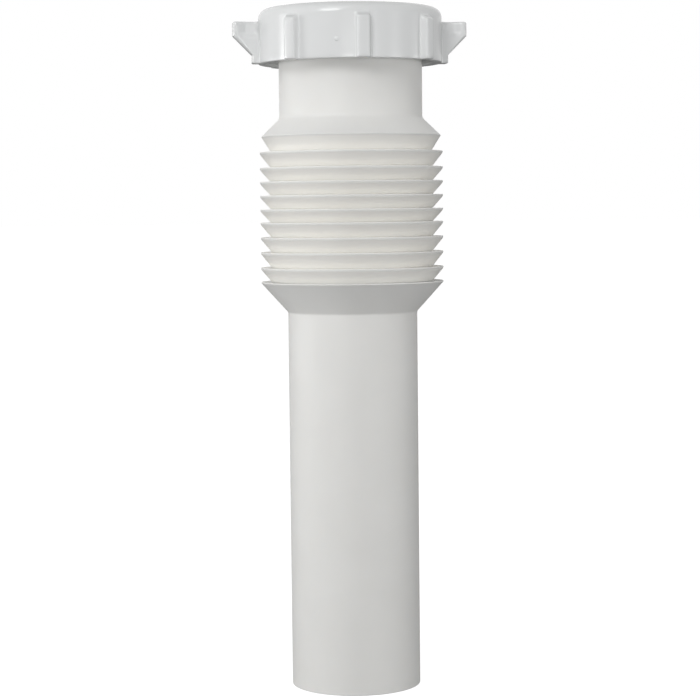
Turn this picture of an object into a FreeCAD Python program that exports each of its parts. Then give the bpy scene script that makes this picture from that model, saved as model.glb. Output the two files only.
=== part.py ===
import FreeCAD, Part
import math
import operator
import os

import Sketcher
from FreeCAD import Vector

# A flexible slip-joint tail tube for a basin waste, standing on the cut end of its pipe.
# Z runs up the tube's axis from the cut end, and X runs through the nut's two wings.

SHEET = "Dimensions"

DIMENSIONS = {
    # Plain pipe, and the tailpiece of the same size that slips into the neck
    "tube_diameter": 38.1,
    "pipe_wall": 1.7,
    "pipe_length": 110.8,
    # Bellows: a thin wall folded to and fro between tips and valleys
    "tail_height": 8.8,
    "fold_wall": 0.55,
    "fold_pitch": 4.22,
    "fold_count": 9,
    "fold_rise": 5.9,
    "fold_depth": 4.5,
    "fold_fall": 4.95,
    "first_fold_pitch": 4.7,
    "first_fold_rise": 5.3,
    "shoulder_height": 5.25,
    # Neck: a socket with a thicker threaded collar and a bevelled mouth
    "socket_clearance": 0.25,
    "neck_wall": 1.7,
    "neck_length": 26.43,
    "collar_step": 1.7,
    "collar_length": 8.0,
    "collar_chamfer": 0.4,
    "mouth_bevel": 2.1,
    # Sealing washer, pressed between the mouth and the nut's lip
    "washer_clearance": 0.1,
    "washer_side_gap": 0.5,
    "washer_height": 2.5,
    "washer_nose": 0.5,
    "washer_chamfer": 0.3,
    "seat_gap": 0.35,
    # Nut: a cap with a thread inside
    "thread_depth": 1.3,
    "thread_clearance": 0.2,
    "nut_wall": 2.7,
    "nut_height": 15.9,
    "lip_thickness": 2.9,
    "lip_clearance": 0.45,
    "lip_chamfer": 0.4,
    "entry_chamfer": 0.6,
    "dome_radius": 2.9,
    # Grip ribs round the nut
    "rib_count": 8,
    "rib_width": 4.4,
    "rib_height": 2.05,
    "rib_drop": 3.75,
    "rib_root_radius": 1.0,
    "rib_edge_radius": 0.7,
    "rib_top_bevel": 0.7,
    "rib_foot_bevel": 0.5,
    # Wings on two opposite ribs: a waisted head above a sloping web
    "wing_count": 2,
    "wing_reach": 5.55,
    "wing_head_height": 3.8,
    "wing_edge_height": 4.15,
    "wing_waist": 3.4,
    "wing_flare_radius": 3.4,
    "wing_edge_radius": 1.2,
}

FULL_TURN = 360
VALUE_COLUMN = "B"
NAME_COLUMN = "A"
LINE_START = 1
LINE_END = 2
CENTRE = 3
ORIGIN = -1
ORIGIN_POINT = 1
HORIZONTAL_AXIS = -1


class Size:
    """A length, and the expression that gives it from the sheet."""

    def __init__(self, value, text):
        self.value = value
        self.text = text

    def __add__(self, other):
        return combine(self, other, "+", operator.add)

    def __sub__(self, other):
        return combine(self, other, "-", operator.sub)

    def __mul__(self, other):
        return combine(self, other, "*", operator.mul)

    def __truediv__(self, other):
        return combine(self, other, "/", operator.truediv)


def combine(left, right, symbol, operation):
    """The size that an operation gives on two sizes, or on a size and a plain number."""
    if not isinstance(right, Size):
        right = Size(right, str(right))
    return Size(operation(left.value, right.value), f"({left.text} {symbol} {right.text})")


def root(size):
    """The square root of a size."""
    return Size(math.sqrt(size.value), f"sqrt({size.text})")


def size(name):
    """The size in the sheet's cell of that name."""
    return Size(DIMENSIONS[name], f"{SHEET}.{name}")


ZERO = size("tube_diameter") - size("tube_diameter")

# Tube radii
TUBE_RADIUS = size("tube_diameter") / 2
PIPE_BORE = TUBE_RADIUS - size("pipe_wall")
SOCKET_RADIUS = TUBE_RADIUS + size("socket_clearance")
NECK_RADIUS = SOCKET_RADIUS + size("neck_wall")
COLLAR_RADIUS = NECK_RADIUS + size("collar_step")
TIP_RADIUS = NECK_RADIUS + size("fold_rise")
TIP_CENTRE = TIP_RADIUS - size("fold_wall")
FIRST_TIP_RADIUS = NECK_RADIUS + size("first_fold_rise")
FIRST_TIP_CENTRE = FIRST_TIP_RADIUS - size("fold_wall")
VALLEY_RADIUS = TIP_RADIUS - size("fold_depth")

# Tube heights
PIPE_TOP = size("pipe_length")
LAST_TIP = PIPE_TOP + size("tail_height")
SECOND_TIP = LAST_TIP + size("fold_pitch") * size("fold_count")
FIRST_TIP = SECOND_TIP + size("first_fold_pitch")
NECK_BASE = FIRST_TIP + size("shoulder_height")
MOUTH = NECK_BASE + size("neck_length")
COLLAR_BASE = MOUTH - size("collar_length")
SEAT_RADIUS = SOCKET_RADIUS + size("mouth_bevel")

# Nut and washer
NUT_BORE = COLLAR_RADIUS + size("thread_depth") + size("thread_clearance")
NUT_RADIUS = NUT_BORE + size("nut_wall")
LIP_BORE = TUBE_RADIUS + size("lip_clearance")
LIP_UNDERSIDE = MOUTH + size("washer_height")
NUT_TOP = LIP_UNDERSIDE + size("lip_thickness")
NUT_BASE = NUT_TOP - size("nut_height")
WASHER_BORE = TUBE_RADIUS + size("washer_clearance")
WASHER_RADIUS = NUT_BORE - size("washer_side_gap")
RIB_RADIUS = NUT_RADIUS + size("rib_height")
RIB_TOP = NUT_TOP - size("rib_drop")
RIB_HALF = size("rib_width") / 2
WING_RADIUS = RIB_RADIUS + size("wing_reach")
WING_FLOOR = RIB_TOP - size("wing_head_height")
WING_EDGE = RIB_TOP - size("wing_edge_height")
ROOT_INSIDE = (NUT_BORE + NUT_RADIUS) / 2


class Outline:
    """A closed chain of lines and arcs in a sketch, each piece starting where the last one ends."""

    def __init__(self, body, name, plane):
        self.sketch = body.newObject("Sketcher::SketchObject", name)
        self.sketch.AttachmentSupport = (origin_feature(body, plane), [""])
        self.sketch.MapMode = "FlatFace"
        self.pieces = []

    def line(self, start, end):
        """Add a line and return its number."""
        number = self.sketch.addGeometry(Part.LineSegment(Vector(*start, 0), Vector(*end, 0)), False)
        self.pieces.append((number, LINE_START, LINE_END))
        return number

    def arc(self, centre, radius, start, end):
        """Add an arc from one point to another, clockwise if the end angle is the smaller, and return its number."""
        circle = Part.Circle(Vector(*centre, 0), Vector(0, 0, 1), radius)
        number = self.sketch.addGeometry(Part.ArcOfCircle(circle, min(start, end), max(start, end)), False)
        ends = (LINE_START, LINE_END) if end > start else (LINE_END, LINE_START)
        self.pieces.append((number, *ends))
        return number

    def close(self, smooth=()):
        """Join each piece to the next, smoothly after the numbered ones in smooth."""
        for place, (number, _, end) in enumerate(self.pieces):
            following, start, _ = self.pieces[(place + 1) % len(self.pieces)]
            kind = "Tangent" if number in smooth else "Coincident"
            self.sketch.addConstraint(Sketcher.Constraint(kind, number, end, following, start))

    def fix(self, kind, number, point, target):
        """Hold one coordinate of a point at a size from the sketch's origin."""
        constraint = Sketcher.Constraint(kind, ORIGIN, ORIGIN_POINT, number, point, target.value)
        self.bind(constraint, target)

    def pin(self, number, point, across, up):
        """Hold a point at two sizes from the sketch's origin."""
        self.fix("DistanceX", number, point, across)
        self.fix("DistanceY", number, point, up)

    def thickness(self, number, point, face, target):
        """Hold a point at a distance from a line."""
        self.bind(Sketcher.Constraint("Distance", number, point, face, target.value), target)

    def edge(self, cut, face, point, across):
        """Make a level cut run out to an upright face at a size from the axis."""
        self.same("Horizontal", cut)
        self.same("Vertical", face)
        self.fix("DistanceX", face, point, across)

    def radius(self, number, target):
        """Hold an arc's radius at a size."""
        self.bind(Sketcher.Constraint("Radius", number, target.value), target)

    def same(self, kind, *places):
        """Add a constraint that has no size."""
        self.sketch.addConstraint(Sketcher.Constraint(kind, *places))

    def bind(self, constraint, target):
        """Add a constraint whose size follows the sheet."""
        place = self.sketch.addConstraint(constraint)
        self.sketch.setExpression(f"Constraints[{place}]", target.text)

    def polygon(self, corners):
        """Draw a closed chain of lines through corners given as sizes, and pin each corner."""
        spots = [(across.value, up.value) for across, up in corners]
        for place, spot in enumerate(spots):
            self.line(spot, spots[(place + 1) % len(spots)])
        self.close()
        for (number, start, _), (across, up) in zip(self.pieces, corners):
            self.pin(number, start, across, up)


def origin_feature(body, role):
    """A body's own axis or plane, by its role."""
    return next(item for item in body.Origin.OriginFeatures if item.Role == role)


def spot(point):
    """The plain coordinates of a point given as sizes."""
    return tuple(coordinate.value for coordinate in point)


def leg(start, end, wall):
    """The direction and side angles of a straight wall whose near face leaves start and whose far face meets end."""
    across, up = end[0] - start[0], end[1] - start[1]
    length = math.hypot(across, up)
    lean = math.asin(wall / length)
    return math.atan2(up, across), lean


def polar(centre, radius, angle):
    """The point at a radius and angle from a centre."""
    return centre[0] + radius * math.cos(angle), centre[1] + radius * math.sin(angle)


def revolve(body, name, outline):
    """Turn an outline round the tube's axis."""
    feature = body.newObject("PartDesign::Revolution", name)
    feature.Profile = outline.sketch
    feature.ReferenceAxis = (outline.sketch, ["V_Axis"])
    feature.Angle = FULL_TURN
    body.Document.recompute()
    return feature


def pattern(body, kind, name, originals):
    """A pattern of features, made the body's result."""
    feature = body.newObject(f"PartDesign::{kind}", name)
    feature.Originals = originals
    body.Tip = feature
    return feature


def make_sheet(document):
    """Write the driving sizes into a sheet, one named cell each."""
    sheet = document.addObject("Spreadsheet::Sheet", SHEET)
    for row, (name, value) in enumerate(DIMENSIONS.items(), start=1):
        sheet.set(f"{NAME_COLUMN}{row}", name)
        sheet.set(f"{VALUE_COLUMN}{row}", str(value))
        sheet.setAlias(f"{VALUE_COLUMN}{row}", name)
    document.recompute()


def draw_fold(body, name, upper, valley, lower, upper_edge, lower_edge):
    """One fold of the bellows wall, from an upper tip in to a valley and out to the tip below."""
    wall = size("fold_wall")
    bend = valley[0] - wall
    top, dip, base = spot(upper), spot(valley), spot(lower)
    outline = Outline(body, name, "XZ_Plane")
    heading, lean = leg(top, dip, wall.value)
    under = math.tan(heading - lean)
    heading, lean = leg(dip, base, wall.value)
    over = math.tan(heading + lean)

    def at(across, start, slope):
        return across.value, start[1] + (across.value - start[0]) * slope

    top_cut = outline.line(top, (upper_edge.value, top[1]))
    top_tip = outline.line((upper_edge.value, top[1]), at(upper_edge, dip, under))
    under_face = outline.line(at(upper_edge, dip, under), dip)
    over_face = outline.line(dip, at(lower_edge, dip, over))
    base_tip = outline.line(at(lower_edge, dip, over), (lower_edge.value, base[1]))
    base_cut = outline.line((lower_edge.value, base[1]), base)
    base_inner = outline.line(base, at(bend, base, over))
    inner_bend = outline.line(at(bend, base, over), at(bend, top, under))
    top_inner = outline.line(at(bend, top, under), top)
    outline.close()

    outline.pin(top_inner, LINE_END, *upper)
    outline.pin(over_face, LINE_START, *valley)
    outline.pin(base_inner, LINE_START, *lower)
    outline.edge(top_cut, top_tip, LINE_START, upper_edge)
    outline.edge(base_cut, base_tip, LINE_END, lower_edge)
    outline.same("Vertical", inner_bend)
    outline.fix("DistanceX", inner_bend, LINE_END, bend)
    outline.thickness(top_inner, LINE_END, under_face, wall)
    outline.thickness(base_inner, LINE_START, over_face, wall)
    outline.same("Parallel", top_inner, under_face)
    outline.same("Parallel", base_inner, over_face)
    return outline


def draw_end(body, name, corners, edge, upward):
    """An end of the tube: corners from the sloping wall round to a tip of the bellows, which comes last."""
    wall = size("fold_wall")
    tip = spot(corners[-1])
    foot = spot(corners[0])
    heading, lean = leg(foot, tip, wall.value) if upward else leg(tip, foot, wall.value)
    slope = math.tan(heading + lean if upward else heading - lean)
    brim = (edge.value, foot[1] + (edge.value - foot[0]) * slope)

    outline = Outline(body, name, "XZ_Plane")
    cut = outline.line(tip, (edge.value, tip[1]))
    face = outline.line((edge.value, tip[1]), brim)
    slant = outline.line(brim, foot)
    sides = [outline.line(spot(start), spot(end)) for start, end in zip(corners, corners[1:])]
    outline.close()
    outline.edge(cut, face, LINE_START, edge)
    outline.thickness(cut, LINE_START, slant, wall)
    for number, corner in zip(sides, corners):
        outline.pin(number, LINE_START, *corner)
    outline.pin(cut, LINE_START, *corners[-1])
    return outline


def draw_neck(body):
    """The neck with its collar, bevelled mouth and shoulder, down to the first tip of the bellows."""
    chamfer = size("collar_chamfer")
    corners = [
        (NECK_RADIUS, NECK_BASE),
        (NECK_RADIUS, COLLAR_BASE - size("collar_step")),
        (COLLAR_RADIUS, COLLAR_BASE),
        (COLLAR_RADIUS, MOUTH - chamfer),
        (COLLAR_RADIUS - chamfer, MOUTH),
        (SEAT_RADIUS, MOUTH),
        (SOCKET_RADIUS, MOUTH - size("mouth_bevel")),
        (SOCKET_RADIUS, NECK_BASE),
        (FIRST_TIP_CENTRE, FIRST_TIP),
    ]
    return draw_end(body, "NeckProfile", corners, FIRST_TIP_RADIUS, upward=True)


def draw_tail(body):
    """The cone below the last tip of the bellows and the plain pipe."""
    corners = [
        (TUBE_RADIUS, PIPE_TOP),
        (TUBE_RADIUS, ZERO),
        (PIPE_BORE, ZERO),
        (PIPE_BORE, PIPE_TOP),
        (TIP_CENTRE, LAST_TIP),
    ]
    return draw_end(body, "TailProfile", corners, TIP_RADIUS, upward=False)


def make_tube(document):
    """The one-piece tube: neck, bellows and plain pipe."""
    body = document.addObject("PartDesign::Body", "flexible_tube")
    fall = size("fold_fall")
    first = (FIRST_TIP_CENTRE, FIRST_TIP)
    second = (TIP_CENTRE, SECOND_TIP)
    third = (TIP_CENTRE, SECOND_TIP - size("fold_pitch"))
    first_valley = (VALLEY_RADIUS, SECOND_TIP - (fall - size("fold_pitch")))
    valley = (VALLEY_RADIUS, SECOND_TIP - fall)

    revolve(body, "Neck", draw_neck(body))
    start = draw_fold(body, "FirstFoldProfile", first, first_valley, second, FIRST_TIP_RADIUS, TIP_RADIUS)
    revolve(body, "FirstFold", start)
    outline = draw_fold(body, "FoldProfile", second, valley, third, TIP_RADIUS, TIP_RADIUS)
    fold = revolve(body, "Fold", outline)
    folds = pattern(body, "LinearPattern", "Folds", [fold])
    folds.Direction = (outline.sketch, ["V_Axis"])
    folds.Reversed = True
    folds.Mode = "Spacing"
    folds.setExpression("Offset", size("fold_pitch").text)
    folds.setExpression("Occurrences", size("fold_count").text)
    document.recompute()
    revolve(body, "Tail", draw_tail(body))
    return body


def make_washer(document):
    """The bevelled washer that seals the mouth."""
    body = document.addObject("PartDesign::Body", "seal_washer")
    chamfer = size("washer_chamfer")
    nose_edge = WASHER_BORE + size("washer_nose")
    bevel_edge = SEAT_RADIUS - size("seat_gap")
    nose_base = MOUTH - (bevel_edge - nose_edge)
    outline = Outline(body, "WasherProfile", "XZ_Plane")
    outline.polygon([
        (WASHER_BORE, nose_base),
        (nose_edge, nose_base),
        (bevel_edge, MOUTH),
        (WASHER_RADIUS - chamfer, MOUTH),
        (WASHER_RADIUS, MOUTH + chamfer),
        (WASHER_RADIUS, LIP_UNDERSIDE),
        (WASHER_BORE, LIP_UNDERSIDE),
    ])
    revolve(body, "Washer", outline)
    return body


def draw_cap(body):
    """The nut's round body: side, dome, lip and threaded bore."""
    dome = size("dome_radius")
    entry = size("entry_chamfer")
    chamfer = size("lip_chamfer")
    foot = (NUT_RADIUS, NUT_BASE)
    crest = (LIP_BORE + chamfer, NUT_TOP)
    centre = spot((NUT_RADIUS - dome, NUT_TOP - dome))
    corners = [
        crest,
        (LIP_BORE, NUT_TOP - chamfer),
        (LIP_BORE, LIP_UNDERSIDE),
        (NUT_BORE, LIP_UNDERSIDE),
        (NUT_BORE, NUT_BASE + entry),
        (NUT_BORE + entry, NUT_BASE),
        foot,
    ]
    outline = Outline(body, "CapProfile", "XZ_Plane")
    side = outline.line(spot(foot), polar(centre, dome.value, 0))
    shoulder = outline.arc(centre, dome.value, 0, math.pi / 2)
    top = outline.line(polar(centre, dome.value, math.pi / 2), spot(crest))
    sides = [outline.line(spot(start), spot(end)) for start, end in zip(corners, corners[1:])]
    outline.close(smooth=(side, shoulder))
    outline.same("Vertical", side)
    outline.same("Horizontal", top)
    outline.radius(shoulder, dome)
    for number, corner in zip(sides, corners):
        outline.pin(number, LINE_START, *corner)
    outline.pin(side, LINE_START, *foot)
    return outline


def draw_rib(body):
    """The plan of a grip rib on the +X side, with rounded edges and a fillet where it leaves the nut."""
    fillet = size("rib_root_radius")
    edge = size("rib_edge_radius")
    reach = NUT_RADIUS + fillet
    rise = RIB_HALF + fillet
    run = root(reach * reach - rise * rise)
    meet = (run * NUT_RADIUS / reach, rise * NUT_RADIUS / reach)
    plan = RootedPlan(body, "RibPlan", NUT_BASE, meet, RIB_RADIUS, edge)
    plan.draw((run, rise), fillet, run)
    plan.smooth_root()
    return plan.outline


def draw_wing_head(body):
    """The plan of a wing's head on the +X side, hollowed to a waist between the nut and its rounded end."""
    flare = size("wing_flare_radius")
    edge = size("wing_edge_radius")
    reach = NUT_RADIUS + flare
    rise = flare + size("wing_waist") / 2
    run = root(reach * reach - rise * rise)
    meet = (run * NUT_RADIUS / reach, rise * NUT_RADIUS / reach)
    drop = rise - RIB_HALF
    leave = run + root(flare * flare - drop * drop)
    plan = RootedPlan(body, "WingHeadPlan", WING_FLOOR, meet, WING_RADIUS, edge)
    plan.draw((run, rise), flare, leave)
    plan.hold_root(rise)
    return plan.outline


class RootedPlan:
    """The plan of a blade that leaves the nut's round side through two hollow arcs, even about the X axis."""

    def __init__(self, body, name, height, meet, end, edge):
        self.outline = Outline(body, name, "XY_Plane")
        self.outline.sketch.setExpression("AttachmentOffset.Base.z", height.text)
        self.meet = meet
        self.end = end
        self.edge = edge

    def draw(self, centre, radius, leave):
        """Draw the chain, from the root arcs round the outer end."""
        outline = self.outline
        run, rise = spot(centre)
        half, edge, end = RIB_HALF.value, self.edge.value, self.end.value
        meet_x, meet_y = spot(self.meet)
        inside = ROOT_INSIDE.value
        inward = math.atan2(-rise, -run)
        outward = math.atan2(half - rise, leave.value - run)
        if inward > outward:
            inward -= 2 * math.pi
        low_base = outline.line((inside, -meet_y), (meet_x, -meet_y))
        self.low_root = outline.arc((run, -rise), radius.value, -inward, -outward)
        self.low_side = outline.line((leave.value, -half), (end - edge, -half))
        low_edge = outline.arc((end - edge, edge - half), edge, -math.pi / 2, 0)
        face = outline.line((end, edge - half), (end, half - edge))
        high_edge = outline.arc((end - edge, half - edge), edge, 0, math.pi / 2)
        self.high_side = outline.line((end - edge, half), (leave.value, half))
        self.high_root = outline.arc((run, rise), radius.value, outward, inward)
        high_base = outline.line((meet_x, meet_y), (inside, meet_y))
        back = outline.line((inside, meet_y), (inside, -meet_y))
        self.smooth = [self.low_side, low_edge, face, high_edge]

        outline.radius(self.high_root, radius)
        outline.radius(high_edge, self.edge)
        outline.same("Equal", self.high_root, self.low_root)
        outline.same("Equal", high_edge, low_edge)
        outline.pin(high_base, LINE_START, *self.meet)
        outline.fix("DistanceX", back, LINE_START, ROOT_INSIDE)
        outline.fix("DistanceX", face, LINE_END, self.end)
        outline.fix("DistanceY", self.high_side, LINE_END, RIB_HALF)
        for number in (low_base, self.low_side, self.high_side, high_base):
            outline.same("Horizontal", number)
        outline.same("Vertical", back)
        outline.same("Vertical", face)
        outline.same("Symmetric", high_base, LINE_START, low_base, LINE_END, HORIZONTAL_AXIS)
        outline.same("Symmetric", self.high_side, LINE_END, self.low_side, LINE_START, HORIZONTAL_AXIS)

    def smooth_root(self):
        """Run the root arcs smoothly into the blade's sides."""
        self.outline.close(smooth=(*self.smooth, self.high_side))

    def hold_root(self, rise):
        """Hold the root arcs at a height and leave a crest where they end."""
        self.outline.close(smooth=self.smooth)
        self.outline.fix("DistanceY", self.high_root, CENTRE, rise)


def draw_rib_trims(body):
    """What is turned off the ribs' ends: a bevel at the top and a smaller one at the foot."""
    trims = []
    for name, height, bevel, way in (
        ("RibTopTrim", RIB_TOP, size("rib_top_bevel"), 1),
        ("RibFootTrim", NUT_BASE, size("rib_foot_bevel"), -1),
    ):
        step = bevel * way
        outline = Outline(body, name, "XZ_Plane")
        outline.polygon([
            (RIB_RADIUS - bevel, height),
            (RIB_RADIUS - bevel, height + step),
            (RIB_RADIUS + bevel, height + step),
            (RIB_RADIUS + bevel, height - step),
            (RIB_RADIUS, height - step),
        ])
        trims.append(outline)
    return trims


def turn_off(body, name, outline):
    """Cut an outline away all round the tube's axis."""
    groove = body.newObject("PartDesign::Groove", name)
    groove.Profile = outline.sketch
    groove.ReferenceAxis = (outline.sketch, ["V_Axis"])
    groove.Angle = FULL_TURN
    body.Document.recompute()
    return groove


def raise_plan(body, name, outline, height):
    """Pad a plan upwards."""
    pad = body.newObject("PartDesign::Pad", name)
    pad.Profile = outline.sketch
    pad.setExpression("Length", height.text)
    body.Document.recompute()
    return pad


def spread(body, name, originals, count):
    """Repeat features evenly round the tube's axis."""
    ring = pattern(body, "PolarPattern", name, originals)
    ring.Axis = (origin_feature(body, "Z_Axis"), [""])
    ring.Angle = FULL_TURN
    ring.setExpression("Occurrences", count.text)
    body.Document.recompute()
    return ring


def make_nut(document):
    """The slip nut: a domed cap with grip ribs and two wings."""
    body = document.addObject("PartDesign::Body", "slip_nut")
    revolve(body, "Cap", draw_cap(body))
    rib = raise_plan(body, "Rib", draw_rib(body), RIB_TOP - NUT_BASE)
    spread(body, "Ribs", [rib], size("rib_count"))
    for name, outline in zip(("RibTops", "RibFeet"), draw_rib_trims(body)):
        turn_off(body, name, outline)

    slope_foot = RIB_RADIUS - size("rib_edge_radius")
    profile = Outline(body, "WingWebProfile", "XZ_Plane")
    profile.polygon([
        (ROOT_INSIDE, WING_FLOOR),
        (ROOT_INSIDE, WING_EDGE - (WING_RADIUS - slope_foot)),
        (slope_foot, WING_EDGE - (WING_RADIUS - slope_foot)),
        (WING_RADIUS, WING_EDGE),
        (WING_RADIUS, WING_FLOOR),
    ])
    web = body.newObject("PartDesign::Pad", "WingWeb")
    web.Profile = profile.sketch
    web.SideType = "Symmetric"
    web.setExpression("Length", size("rib_width").text)
    document.recompute()
    head = raise_plan(body, "WingHead", draw_wing_head(body), size("wing_head_height"))
    spread(body, "Wings", [web, head], size("wing_count"))
    return body


def check(document, bodies):
    """Stop if any object failed or any body is not one valid solid."""
    for item in document.Objects:
        if {"Invalid", "Error"} & set(item.State):
            raise RuntimeError(f"{item.Label} failed: {item.State}")
    for body in bodies:
        if body.Shape.isNull() or not body.Shape.isValid() or len(body.Shape.Solids) != 1:
            raise RuntimeError(f"{body.Label} is not one valid solid")


def main():
    """Build the tube, washer and nut and write one file each."""
    document = FreeCAD.newDocument("tail_pipe")
    make_sheet(document)
    bodies = [make_tube(document), make_washer(document), make_nut(document)]
    document.recompute()
    check(document, bodies)
    os.makedirs("parts", exist_ok=True)
    for body in bodies:
        body.Shape.exportStep(f"parts/{body.Label}.step")


main()
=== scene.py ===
"""A flexible basin waste tail pipe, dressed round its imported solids.

Lengths are in millimetres, but in metres in the studio. Angles are in degrees unless a docstring says
radians. Z runs up the tube's axis from the cut end of the pipe; X runs through the nut's wings.
"""

import logging
import math
from collections.abc import Sequence
from dataclasses import dataclass, field
from enum import Enum

import bmesh
import bpy
import numpy as np
from mathutils import Matrix, Vector


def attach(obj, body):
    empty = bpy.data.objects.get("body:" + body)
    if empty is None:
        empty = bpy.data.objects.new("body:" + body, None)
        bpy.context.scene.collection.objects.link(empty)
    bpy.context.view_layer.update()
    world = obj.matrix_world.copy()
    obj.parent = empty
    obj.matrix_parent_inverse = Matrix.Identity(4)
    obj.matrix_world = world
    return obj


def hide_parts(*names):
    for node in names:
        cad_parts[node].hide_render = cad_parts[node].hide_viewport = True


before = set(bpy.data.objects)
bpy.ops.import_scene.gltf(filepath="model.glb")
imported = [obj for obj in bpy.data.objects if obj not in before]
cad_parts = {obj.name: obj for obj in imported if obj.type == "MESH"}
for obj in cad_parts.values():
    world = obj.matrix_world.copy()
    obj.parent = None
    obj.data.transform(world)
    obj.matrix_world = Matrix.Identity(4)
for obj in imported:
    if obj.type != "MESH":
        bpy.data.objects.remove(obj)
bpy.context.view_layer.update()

MM = 0.001
FULL_TURN = 2.0 * math.pi
STRAIGHT = 1e-4
LOG = logging.getLogger("tail_pipe")

Point = tuple[float, float]
Colour = tuple[float, float, float]


class Body(Enum):
    """The moving bodies of the part."""

    TUBE = "tube"
    WASHER = "washer"
    NUT = "nut"


class Slot(Enum):
    """The record's material slots."""

    TUBE = "tube_plastic"
    WASHER = "washer_plastic"
    NUT = "nut_plastic"


class Side(Enum):
    """Which way a thread ridge stands from its root."""

    OUTWARD = 1
    INWARD = -1


def arc(centre: Point, radius: float, start: float, end: float, steps: int) -> list[Point]:
    """Points along an arc, both ends included.

    Args:
        centre: The arc's centre.
        radius: The arc's radius.
        start: The first point's angle in radians.
        end: The last point's angle in radians.
        steps: How many straight steps stand for the arc.

    Returns:
        The points in order.
    """
    angles = np.linspace(start, end, steps + 1)
    return [(centre[0] + radius * math.cos(a), centre[1] + radius * math.sin(a)) for a in angles]


def rounded(corners: Sequence[tuple[float, float, float]], steps: int = 4) -> list[Point]:
    """A chain of corners with each inner corner rounded.

    Args:
        corners: Across, up and rounding radius of each corner; the first and last are kept as they are.
        steps: Straight steps for each rounding.

    Returns:
        The points in order.
    """
    points: list[Point] = [corners[0][:2]]
    for before, corner, after in zip(corners, corners[1:], corners[2:]):
        here = Vector(corner[:2])
        back = (Vector(before[:2]) - here).normalized()
        ahead = (Vector(after[:2]) - here).normalized()
        half = back.angle(ahead) / 2.0
        if corner[2] <= 0.0 or half > math.pi / 2.0 - STRAIGHT:
            points.append(corner[:2])
            continue
        centre = here + (back + ahead).normalized() * (corner[2] / math.sin(half))
        first = here + back * (corner[2] / math.tan(half)) - centre
        last = here + ahead * (corner[2] / math.tan(half)) - centre
        start = math.atan2(first.y, first.x)
        turn = math.remainder(math.atan2(last.y, last.x) - start, FULL_TURN)
        points += arc(tuple(centre), corner[2], start, start + turn, steps)
    points.append(corners[-1][:2])
    return points


def mesh_object(name: str, points: Sequence[Sequence[float]], edges: Sequence[tuple[int, int]],
                faces: Sequence[Sequence[int]]) -> bpy.types.Object:
    """A new object from points in metres.

    Args:
        name: The object's name.
        points: Corner positions.
        edges: Pairs of corners, where there are no faces.
        faces: Lists of corners.

    Returns:
        The object, linked to the scene.
    """
    mesh = bpy.data.meshes.new(name)
    mesh.from_pydata([tuple(point) for point in points], edges, faces)
    made = bpy.data.objects.new(name, mesh)
    bpy.context.scene.collection.objects.link(made)
    return made


def smooth(made: bpy.types.Object, angle: float) -> None:
    """Shade an object smoothly, with its faces outwards and edges past an angle left sharp.

    Args:
        made: The object.
        angle: The angle between faces, in degrees, past which an edge stays sharp.
    """
    shape = bmesh.new()
    shape.from_mesh(made.data)
    bmesh.ops.recalc_face_normals(shape, faces=shape.faces[:])
    shape.to_mesh(made.data)
    shape.free()
    made.data.shade_smooth()
    made.data.set_sharp_from_angle(angle=math.radians(angle))


def settle(made: bpy.types.Object) -> bpy.types.Object:
    """Turn an object's modifiers into its own plain mesh.

    Args:
        made: An object with modifiers.

    Returns:
        The same object, with no modifiers left.
    """
    graph = bpy.context.evaluated_depsgraph_get()
    mesh = bpy.data.meshes.new_from_object(made.evaluated_get(graph))
    mesh.name = made.name
    made.modifiers.clear()
    made.data = mesh
    return made


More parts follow.
